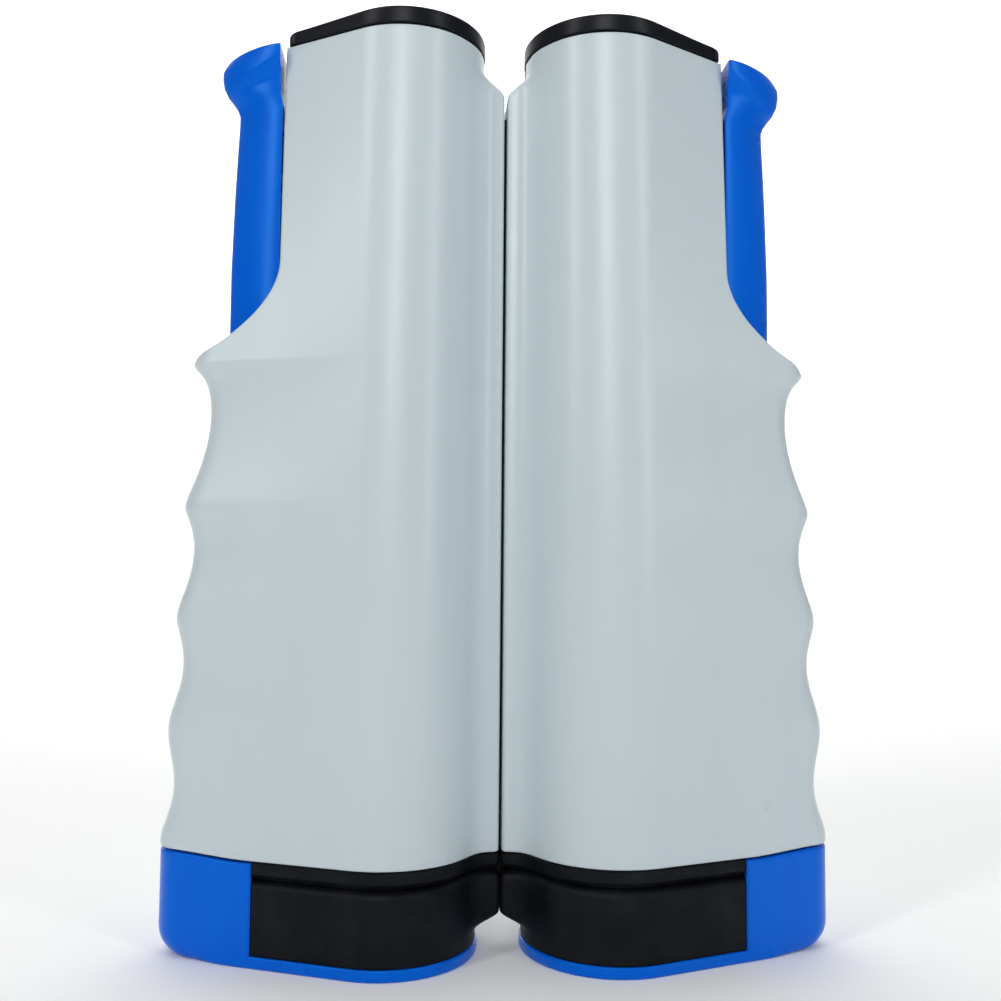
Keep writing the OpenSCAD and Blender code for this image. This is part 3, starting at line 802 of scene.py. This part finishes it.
def upper_pad_part():
    """The pad under the housing, its plug in the housing and a dark web in the slot, painted shade for the gap
    between the posts.
    """
    levels = [(JAW_Z + 0.05, 2.4), (JAW_Z + 0.1, 1.75), (JAW_Z + 0.35, 1.45), (JAW_Z + 0.75, 1.25),
              (JAW_Z + 1.0, 0.95), (JAW_Z + 1.25, 0.5), (JAW_Z + 1.6, 0.22), (JAW_Z + 2.1, 0.12),
              (JAW_Z + 3.0, 0.1), (JAW_Z + 3.5, 0.14), (JAW_Z + 3.7, 0.35), (JAW_Z + 3.75, 0.9)]
    plug = [(SHELL_FOOT - 0.4, WALL + 0.1), (SHELL_FOOT + 1.8, WALL + 0.1),
            (SHELL_FOOT + 2.0, WALL + 0.3)]
    return merged(loft(pad_rings(levels, lambda z: 1.0, -0.06)),
                  loft(pad_rings(plug, lambda z: 0.0, SEAM_X)),
                  shade_web(JAW_Z + 0.08, SHADE_WEB_TOP))


def lower_pad_part():
    """The pad on the foot plate, with a rounded top rim and a dark web in the slot, painted shade for the gap
    between the posts.
    """
    top = JAW_Z - 0.05
    levels = [(FOOT_T + 0.02, 0.5), (FOOT_T + 0.15, 0.4)]
    side, r = 0.34, 1.7
    levels += [(z, side) for z in np.linspace(FOOT_T + 0.5, 13.6, 24)]
    levels += [(top - r * (1 - math.sin(a)), side + r * (1 - math.cos(a)) * 0.95)
               for a in np.linspace(0.15, math.pi / 2, 9)]
    levels.append((top, 2.6))
    pad = loft(pad_rings(levels, lambda z: float(smooth((z - 4.4) / 4.2)), -0.28))
    return merged(pad, shade_web(9.5, top))


# ---------------------------------------------------------------- jaw base: foot plate and outer block
def base_tip(z):
    """Outer reach of the base at height z: its lower outer corner is round in front view."""
    r = 5.5
    return TIP_X - 0.1 - (r - math.sqrt(r * r - (r - z) ** 2) if z < r else 0.0)


def block_top_at(x):
    return BLOCK_TOP + 0.85 * float(smooth((x - 51) / 15))


def jaw_base_part():
    """The foot plate under the pad, and the block at the outer end."""
    plate_levels = rim(0.0, FOOT_T, 0.5, 0.3, (1.2,))
    plate = loft([closed_plan(plan_half(z, inset + 0.02, 0.0, BLOCK_X + 2, 0.1), z)
                  for z, inset in plate_levels])
    levels = rim(0.0, BLOCK_TOP, 0.5, 0.45, list(np.linspace(0.9, 18.6, 30)))
    rings = []
    for z, inset in levels:
        tip = base_tip(z) - inset
        flank = flank_curve(SHELL_FOOT, inset, WHOLE_EDGE, 60)
        flank = flank[flank[:, 0] > BLOCK_X + 0.3]
        flank[:, 0] -= (flank[-1][0] - tip) * smooth((flank[:, 0] - (TIP_X - 16)) / 15.5)
        start = np.array([BLOCK_X, half_t(SHELL_FOOT, BLOCK_X) - inset])
        corner = [start - np.array([0, 0.4]), start + np.array([0.12, -0.12])]
        t = np.linspace(0, 1, 44)
        reach = np.vstack([corner, flank])
        length = np.concatenate([[0], np.cumsum(np.hypot(*np.diff(reach, axis=0).T))])
        half = np.array([[np.interp(s * length[-1], length, reach[:, k]) for k in (0, 1)] for s in t])
        half = np.vstack([corner[0], half[1:]])
        front = [(x, -d) for x, d in half]
        back = [(x, d) for x, d in half[::-1]]
        share = smooth((z - (BLOCK_TOP - 4)) / 4)
        rings.append(np.array([(x, y, z + share * (block_top_at(x) - BLOCK_TOP))
                               for x, y in front + back]))
    return merged(plate, loft(rings))


# ---------------------------------------------------------------- squeeze lever
LEVER_LOW_X, LEVER_HIGH_X, HEAD_IN_X = 44.0, 46.6, 47.15
LEVER_STEP_Z = 124.0
CHANNEL_LOW, CHANNEL_HIGH, CHANNEL_HALF = 24.0, 151.0, 4.3
NECK_HALF, HEAD_HALF = 6.4, 8.05
COLUMN_ROUND, HEAD_ROUND = 1.35, 1.4
FLARE_DROP, FLARE_LEAN, FLARE_H, FLARE_FROM_Z = 6.6, 4.4, 4.2, 172
HEAD_EDGE_R = 0.8
FACE_POINTS = 27
# Outer reach of the column and its head, by height
LEVER_REACH = [(0, 57.5), (140, 57.5), (155, 57.1), (165, 56.7), (171, 56.4), (173, 56.4),
               (174.2, 56.8), (175.4, 57.6), (177, 58.9), (179, 59.85), (181, 60.2), (182.8, 60.15),
               (184.3, 59.6), (185.4, 58.9), (186, 58.3)]


def lever_ring(z, x_in, channel, inset=0.0):
    """The lever's section: a D with its flat face towards the post, and a spring channel in that face."""
    reach = float(np.interp(z, *zip(*LEVER_REACH))) - inset
    headed = float(smooth((z - 173) / 4))
    power = mix(COLUMN_ROUND, HEAD_ROUND, headed)
    centre = mix(LEVER_HIGH_X, HEAD_IN_X, headed)
    curve = []
    for a in np.linspace(0, math.pi / 2, 34):
        u, v = math.sin(a) ** (2 / power), math.cos(a) ** (2 / power)
        rise = (z - HEAD_TOP + FLARE_DROP + FLARE_LEAN * u) / FLARE_H
        flare = float(smooth(rise)) if z > FLARE_FROM_Z else 0.0
        curve.append((centre + (reach - centre) * u, (mix(NECK_HALF, HEAD_HALF, flare) - inset) * v))
    curve = np.array(curve)
    half = curve[0][1]
    if x_in < LEVER_HIGH_X:
        lead = [(x, half + 0.33 * (centre - x)) for x in np.linspace(x_in + 0.5, centre, 6)[:-1]]
        face_x = x_in
    else:
        face_x = centre
        ease = mix(0.35, 0.6, headed)
        lead = [(centre + ease * (1 - math.cos(a)) * 0.3, half - ease * (1 - math.sin(a)))
                for a in np.linspace(0, math.pi / 2, 6)[:-1]]
    front = np.vstack([lead, curve])
    face_t = front[0][1] - 0.3
    y_face = np.linspace(face_t, -face_t, FACE_POINTS)
    if channel:
        inside = np.abs(y_face) <= CHANNEL_HALF
        depth = np.sqrt(np.maximum(0.0, CHANNEL_HALF ** 2 - y_face ** 2))
        x_face = np.where(inside, np.maximum(face_x, SPRING_X + depth), face_x)
    else:
        x_face = np.full(FACE_POINTS, face_x)
    loop = [(x, -d, z) for x, d in front] + [(x, d, z) for x, d in front[::-1][1:]]
    loop += [(x, y, z) for x, y in zip(x_face, y_face)]
    ring = np.array(loop)
    slope = float(smooth((z - 181) / 5))
    ring[:, 2] -= 0.9 * slope * np.clip((ring[:, 0] - 48) / 11, 0, 1) ** 1.3
    return ring


def lever_part():
    """The column with its head, and the web at its foot."""
    low = FOOT_T + 0.06
    rings = [lever_ring(z, LEVER_LOW_X, False) for z in (low, CHANNEL_LOW)]
    rings += [lever_ring(z, LEVER_LOW_X, True) for z in (CHANNEL_LOW, 60, 90, LEVER_STEP_Z)]
    rings += [lever_ring(z, LEVER_HIGH_X, True) for z in (LEVER_STEP_Z, 132, 140, CHANNEL_HIGH)]
    head_levels = list(np.arange(171, HEAD_TOP - HEAD_EDGE_R, 0.4))
    rings += [lever_ring(z, LEVER_HIGH_X, False)
              for z in [CHANNEL_HIGH, 155, 160, 165, 168, 170] + head_levels]
    rings += [lever_ring(HEAD_TOP - HEAD_EDGE_R * (1 - math.sin(a)), LEVER_HIGH_X, False,
                         HEAD_EDGE_R * (1 - math.cos(a))) for a in np.linspace(0, math.pi / 2, 6)]
    column = loft(rings)
    web_levels = rim(10.0, 70.0, 0.5, 0.8, (20, 40, 60))
    web = []
    for z, inset in web_levels:
        x0, x1, t = 53.0, 61.5 - inset, 2.1 - inset
        nose = [(x1 - t + t * math.sin(a), -t * math.cos(a)) for a in np.linspace(0, math.pi, 9)]
        web.append(np.array([(x0, -t, z)] + [(x, y, z) for x, y in nose] + [(x0, t, z)]))
    return merged(column, loft(web))


# ---------------------------------------------------------------- screws
def cross_head(x, z, seat):
    """A pan head with a cross recess, facing the rear, and its shank."""
    n = 40
    a = np.linspace(0, 2 * math.pi, n, endpoint=False)
    arm = np.maximum(np.abs(np.cos(2 * a)), 0) ** 6

    def ring(r, y, dent=0.0):
        rr = r * (1 - dent * (1 - arm))
        return np.column_stack([x + rr * np.cos(a), np.full(n, y), z + rr * np.sin(a)])

    r, shank_r = SCREW_HEAD_R - 0.03, 1.15
    head = [(r, 0.02), (r, 0.9), (r - 0.25, 1.35), (r - 0.8, 1.58), (1.05, 1.62)]
    recess = [(0.98, 1.6, 0.62), (0.6, 0.95, 0.5), (0.2, 0.7, 0.3)]
    rings = [ring(shank_r, -4.9), ring(shank_r, seat)]
    rings += [ring(radius, seat + up, *dent) for radius, up, *dent in head + recess]
    return loft(rings)


def shell_screws_part():
    return merged(*[cross_head(SCREW_X, z, half_t(z, SCREW_X) - SCREW_DEPTH) for z in SCREW_Z])


PARTS = {
    "top_cap": (cap_part(), "cap_black", "post"),
    "upper_pad": (upper_pad_part(), "pad_black", "post"),
    "lower_pad": (lower_pad_part(), "pad_black", "clamp"),
    "jaw_base": (jaw_base_part(), "lever_blue", "clamp"),
    "clamp_lever": (lever_part(), "lever_blue", "clamp"),
    "shell_screws": (shell_screws_part(), "screw_steel", "post"),
}
for side, sx in SIDES.items():
    for name, (part, slot, body) in PARTS.items():
        piece = finish_mesh(f"{side}_{name}_skin", *mirrored(part, sx))
        dress(piece, slot, f"{side}_{body}", f"{side}_{name}")


# ---------------------------------------------------------------- springs
for side, sx in SIDES.items():
    coil = helix(SPRING_X, 3.3, 0.5, 24, SHELF_TOP, SPRING_TOP)
    piece = finish_mesh(f"{side}_clamp_spring_coil", *mirrored(coil, sx))
    dress(piece, "spring_steel", f"{side}_post", f"{side}_clamp_spring")
    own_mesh(piece)
    winder = helix(DRUM_X, 3.5, 0.4, 34, 36.0, 120.0, 24, 6)
    piece = finish_mesh(f"{side}_drum_spring_coil", *mirrored(winder, sx))
    dress(piece, "spring_steel", f"{side}_post", f"{side}_drum_spring")


# ---------------------------------------------------------------- net
NET_LOW, NET_HIGH = ROLL_LOW + 0.3, ROLL_HIGH - 0.4
NET_LENGTH = 900.0
DRUM_R, ROLL_R = 6.1, 13.2


def net_roll_part():
    """The half of the net that is wound on one drum: a spiral ribbon."""
    turns = NET_LENGTH / (math.pi * (DRUM_R + ROLL_R))
    steps = int(turns * 44)
    rows = np.linspace(NET_LOW, NET_HIGH, 7)
    verts = []
    for i in range(steps + 1):
        a = 2 * math.pi * turns * i / steps
        r = mix(DRUM_R, ROLL_R, i / steps)
        verts += [(DRUM_X + r * math.cos(a), r * math.sin(a), z) for z in rows]
    m = len(rows)
    faces = [(i * m + k, (i + 1) * m + k, (i + 1) * m + k + 1, i * m + k + 1)
             for i in range(steps) for k in range(m - 1)]
    return np.array(verts), faces


PULL = next(j for j in frame["joints"] if j["name"] == "net_pull")["range_m"][1] / MM
SPAN_HALF = 5.6
STRING_T = 0.55
MESH_PITCH = 12.0
TAPE_HALF, HEM_HALF = 6.5, 1.5


def packed_x(stretched):
    """Where a point of the pulled-out net lies along X when the posts are closed."""
    x = np.linspace(-SPAN_HALF, SPAN_HALF, 20001)
    t = (x + SPAN_HALF) / (2 * SPAN_HALF)
    return np.interp(stretched, x + PULL * t * t * (3 - 2 * t), x)


def bar(points, half_w, half_h, horizontal):
    """A thin four-sided string through points (x, z) of the pulled-out net, packed up along X."""
    rings = []
    for x, z in points:
        corners = ((-half_w, -half_h), (half_w, -half_h), (half_w, half_h), (-half_w, half_h))
        ring = [(x, w, z + h) if horizontal else (x + w, h, z) for w, h in corners]
        rings.append(np.array(ring))
    verts, faces = loft(rings)
    verts = np.array(verts, float)
    verts[:, 0] = packed_x(verts[:, 0])
    return verts, faces


def net_span_parts():
    """Strings and tapes of the net that crosses from post to post."""
    start, stop = -SPAN_HALF, SPAN_HALF + PULL
    columns = int(round((stop - start) / MESH_PITCH))
    rows = int(round((NET_HIGH - NET_LOW) / MESH_PITCH))
    xs = np.linspace(start, stop, columns + 1)
    zs = np.linspace(NET_LOW, NET_HIGH, rows + 1)
    t = STRING_T / 2
    strings = [bar([(x, z) for x in xs], t, t, True) for z in zs[1:-1]]
    strings += [bar([(x, zs[0]), (x, zs[-1])], t, t * 0.9, False) for x in xs[1:-1]]
    tape = bar([(x, NET_HIGH - TAPE_HALF) for x in xs], 0.5, TAPE_HALF, True)
    hem = bar([(x, NET_LOW + HEM_HALF) for x in xs], 0.45, HEM_HALF, True)
    return {"net_strings": merged(*strings), "net_hem": hem, "net_top_tape": tape}


for name, part in net_span_parts().items():
    piece = finish_mesh(name, *part, merge=1e-6)
    piece.data.materials.append(MATERIALS["net_fabric"])
    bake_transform(piece)

for side, sx in SIDES.items():
    piece = finish_mesh(f"{side}_net_roll_cloth", *mirrored(net_roll_part(), sx), sharp_deg=180)
    dress(piece, "net_fabric", f"{side}_spool", f"{side}_net_roll")


# ---------------------------------------------------------------- floor and light
def make_stage():
    """A pale paper floor that sweeps up into the back wall."""
    floor_mesh = bpy.data.meshes.new("floor")
    reach, rise, back, sweep = 3.0, 3.0, 1.2, 0.9
    bend = [(back + sweep * math.sin(a), sweep * (1 - math.cos(a)))
            for a in np.linspace(0, math.pi / 2, 16)]
    profile = [(-reach, 0.0)] + bend + [(back + sweep, rise)]
    verts = [(x, y, z) for y, z in profile for x in (-4 * reach, 4 * reach)]
    faces = [(2 * k, 2 * k + 1, 2 * k + 3, 2 * k + 2) for k in range(len(profile) - 1)]
    floor_mesh.from_pydata(verts, [], faces)
    for polygon in floor_mesh.polygons:
        polygon.use_smooth = True
    floor = bpy.data.objects.new("floor", floor_mesh)
    bpy.context.scene.collection.objects.link(floor)
    material, nodes, links, bsdf = shader("floor_paper", (0.93, 0.93, 0.925), 0.9, specular=0.1)
    grain = noise(nodes, links, place_coords(nodes, links), 0.6, 2.0)
    bump(nodes, links, bsdf, grain, 0.02, 0.3)
    floor_mesh.materials.append(material)


def area_light(name, at, aim, size, watts, colour=(1, 1, 1)):
    data = bpy.data.lights.new(name, "AREA")
    data.shape = "RECTANGLE"
    data.size, data.size_y = size
    data.energy = watts
    data.color = colour
    lamp = bpy.data.objects.new(name, data)
    lamp.location = at
    lamp.rotation_mode = "QUATERNION"
    lamp.rotation_quaternion = (Vector(aim) - Vector(at)).to_track_quat("-Z", "Y")
    bpy.context.scene.collection.objects.link(lamp)


def make_light():
    world = bpy.data.worlds.new("world")
    world.use_nodes = True
    background = world.node_tree.nodes["Background"]
    background.inputs["Color"].default_value = (0.93, 0.97, 1.0, 1)
    background.inputs["Strength"].default_value = 0.12
    bpy.context.scene.world = world
    centre = (0, 0, 0.11)
    area_light("key_left", (-0.7, -0.58, 0.66), centre, (0.13, 0.8), 2.5, (1.0, 0.99, 0.97))
    area_light("key_front", (-0.1, -1.0, 0.6), centre, (0.3, 0.7), 3.9)
    area_light("fill_right", (0.64, -0.62, 0.45), centre, (0.13, 0.8), 1.7, (0.95, 0.98, 1.0))
    area_light("top", (0.0, 0.1, 1.0), centre, (1.2, 0.6), 3.6)
    area_light("backdrop", (0.0, 1.0, 1.5), (0, 2.1, 0.6), (4.0, 1.2), 60)


make_stage()
make_light()
bpy.context.scene.view_settings.view_transform = "Standard"
